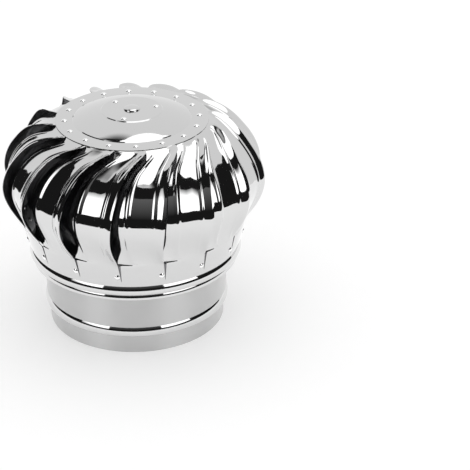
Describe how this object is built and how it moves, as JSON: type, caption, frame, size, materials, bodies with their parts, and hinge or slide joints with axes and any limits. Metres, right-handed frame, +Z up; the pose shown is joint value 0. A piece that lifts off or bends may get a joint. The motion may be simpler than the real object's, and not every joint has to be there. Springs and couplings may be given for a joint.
{
  "type": "turbine roof vent",
  "caption": "Wind-driven turbine roof vent: a ribbed-vane rotor with a riveted cap spins on a spindle above a beaded collar that clamps over a round flue.",
  "frame": {"origin": "centre of the lower edge of the flue socket, on the spindle axis", "axes": "+Z up along the spindle axis; -Y is the front of the picture; +X to its right"},
  "size_m": [0.2956, 0.2956, 0.2564],
  "materials": {
    "polished_stainless": "mirror-polished stainless sheet",
    "plated_steel": "bright zinc plate",
    "bearing_steel": "ground bearing steel",
    "rivet_steel": "bright blind rivets"
  },
  "bodies": {
    "base": {"base_collar": "polished_stainless", "base_spider": "plated_steel", "base_spider_rivets": "rivet_steel", "spindle": "plated_steel", "spindle_foot_washer": "plated_steel", "spindle_foot_nut": "plated_steel", "lower_bearing_inner_race": "bearing_steel", "bearing_spacer": "plated_steel", "upper_bearing_inner_race": "bearing_steel", "lock_washer": "plated_steel", "spindle_lock_nut": "plated_steel"},
    "turbine": {"top_cap": "polished_stainless", "centre_plug": "polished_stainless", "lower_ring": "polished_stainless", "bearing_hub": "plated_steel", "bearing_hub_rivets": "rivet_steel", "lower_bearing_outer_race": "bearing_steel", "upper_bearing_outer_race": "bearing_steel", "vane_01": "polished_stainless", "vane_02": "polished_stainless", "vane_03": "polished_stainless", "vane_04": "polished_stainless", "vane_05": "polished_stainless", "vane_06": "polished_stainless", "vane_07": "polished_stainless", "vane_08": "polished_stainless", "vane_09": "polished_stainless", "vane_10": "polished_stainless", "vane_11": "polished_stainless", "vane_12": "polished_stainless", "vane_13": "polished_stainless", "vane_14": "polished_stainless", "vane_15": "polished_stainless", "vane_16": "polished_stainless", "vane_top_rivets": "rivet_steel", "vane_foot_rivets": "rivet_steel"}
  },
  "joints": [
    {"name": "turbine_spin", "type": "hinge", "parent": "base", "child": "turbine", "pos_m": [0, 0, 0.2], "axis": [0, 0, 1], "continuous": true}
  ]
}
